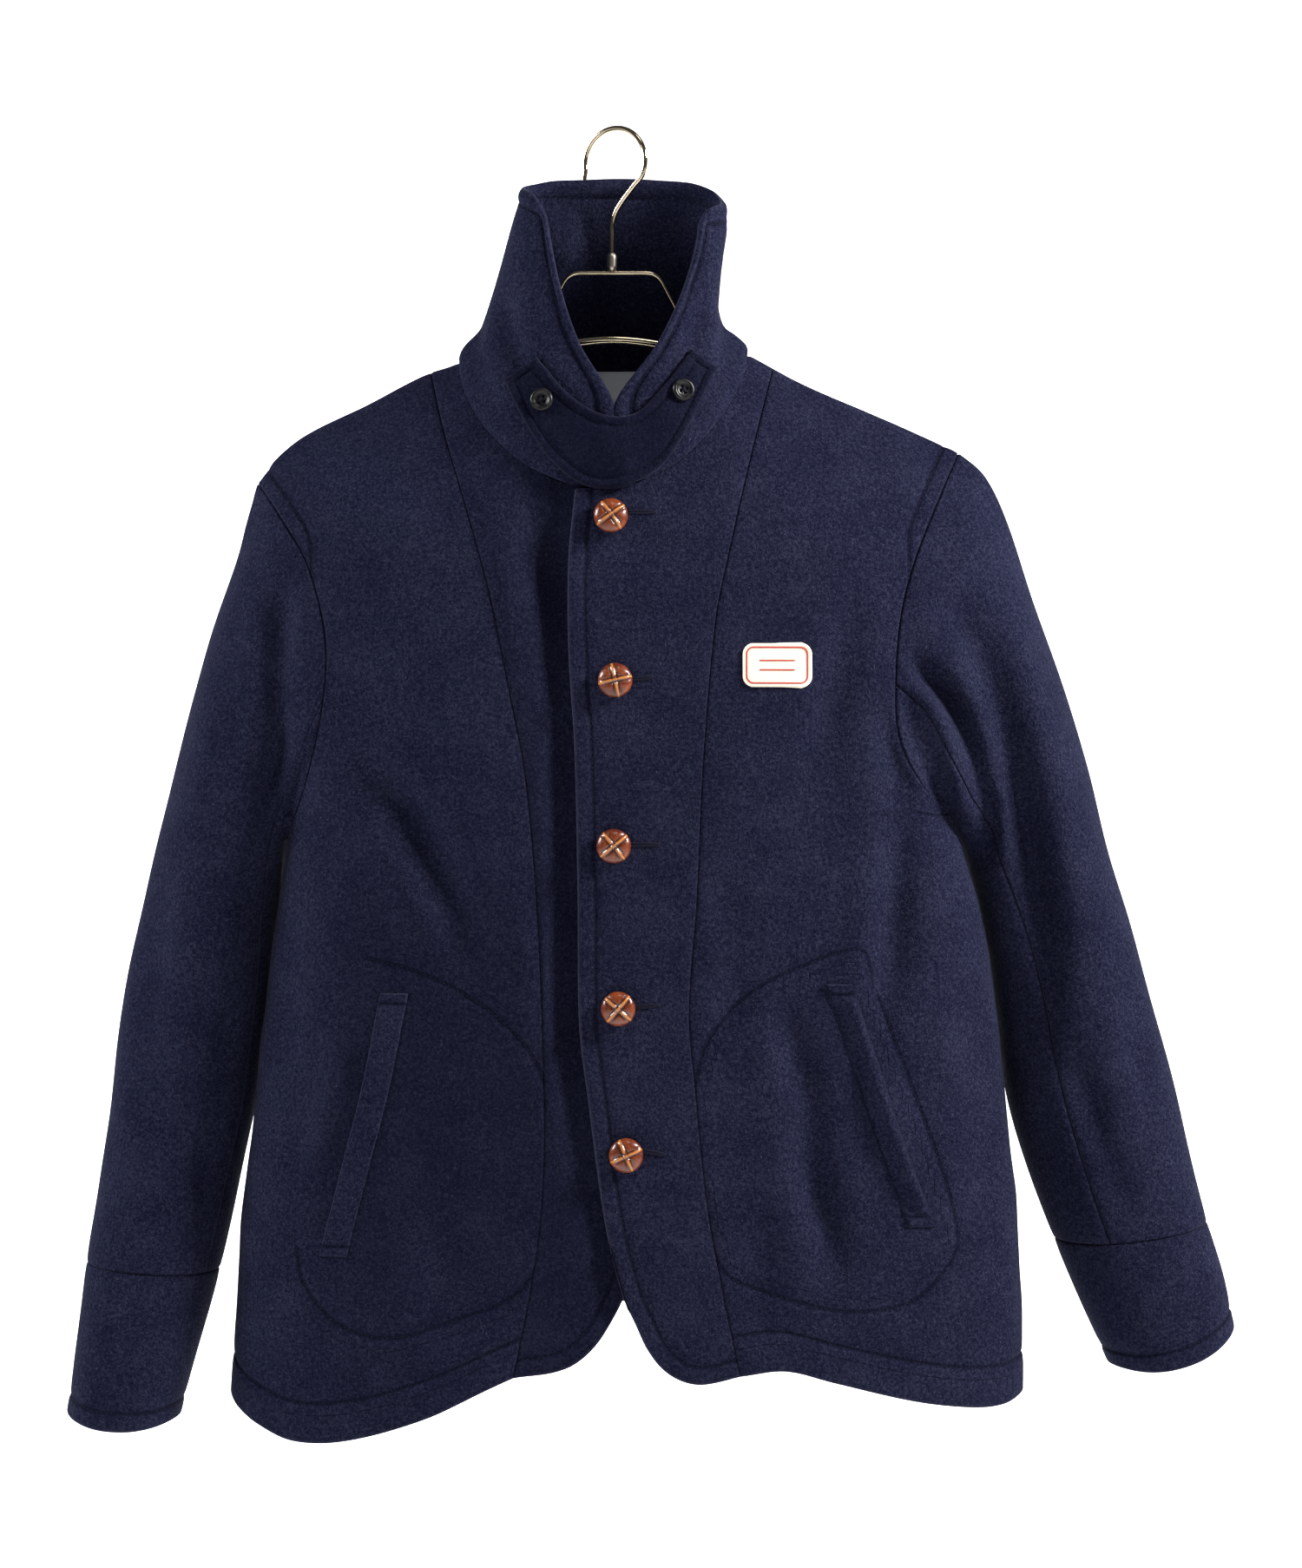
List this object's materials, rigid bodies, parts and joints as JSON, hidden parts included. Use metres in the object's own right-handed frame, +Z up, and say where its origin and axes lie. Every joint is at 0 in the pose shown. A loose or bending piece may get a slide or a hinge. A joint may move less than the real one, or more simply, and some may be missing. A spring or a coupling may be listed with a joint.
{
  "type": "wool coverall jacket on a hanger",
  "caption": "Hip-length wool work jacket with a turned-up collar, throat tab, slanted welt pockets and domed leather buttons, buttoned shut and hanging on a metal hanger",
  "frame": {"origin": "inside top of the hanger's hook, where a rail carries it", "axes": "+Z up, the jacket's front faces -Y, and the wearer's left is +X"},
  "size_m": [0.7626, 0.1623, 0.8544],
  "materials": {
    "melton": "dark navy melton wool, fulled and slightly heathered",
    "leather": "glossy brown woven leather",
    "horn": "polished black",
    "label": "pale blue-white woven tape",
    "patch": "cream woven cloth with a red border",
    "hanger": "pale gold polished metal"
  },
  "bodies": {
    "root": {"front_centre_left": "melton", "front_centre_right": "melton", "front_side_left": "melton", "front_side_right": "melton", "back": "melton", "sleeve_upper_left": "melton", "sleeve_upper_right": "melton", "sleeve_under_left": "melton", "sleeve_under_right": "melton", "cuff_left": "melton", "cuff_right": "melton", "collar": "melton", "throat_tab": "melton", "pocket_welt_left": "melton", "pocket_welt_right": "melton", "button_1": "leather", "button_2": "leather", "button_3": "leather", "button_4": "leather", "button_5": "leather", "tab_button_left": "horn", "tab_button_right": "horn", "neck_label": "label", "chest_patch": "patch", "hanger_hook": "hanger", "hanger_ferrule": "hanger", "hanger_frame": "hanger", "hanger_bar": "hanger"}
  },
  "joints": []
}
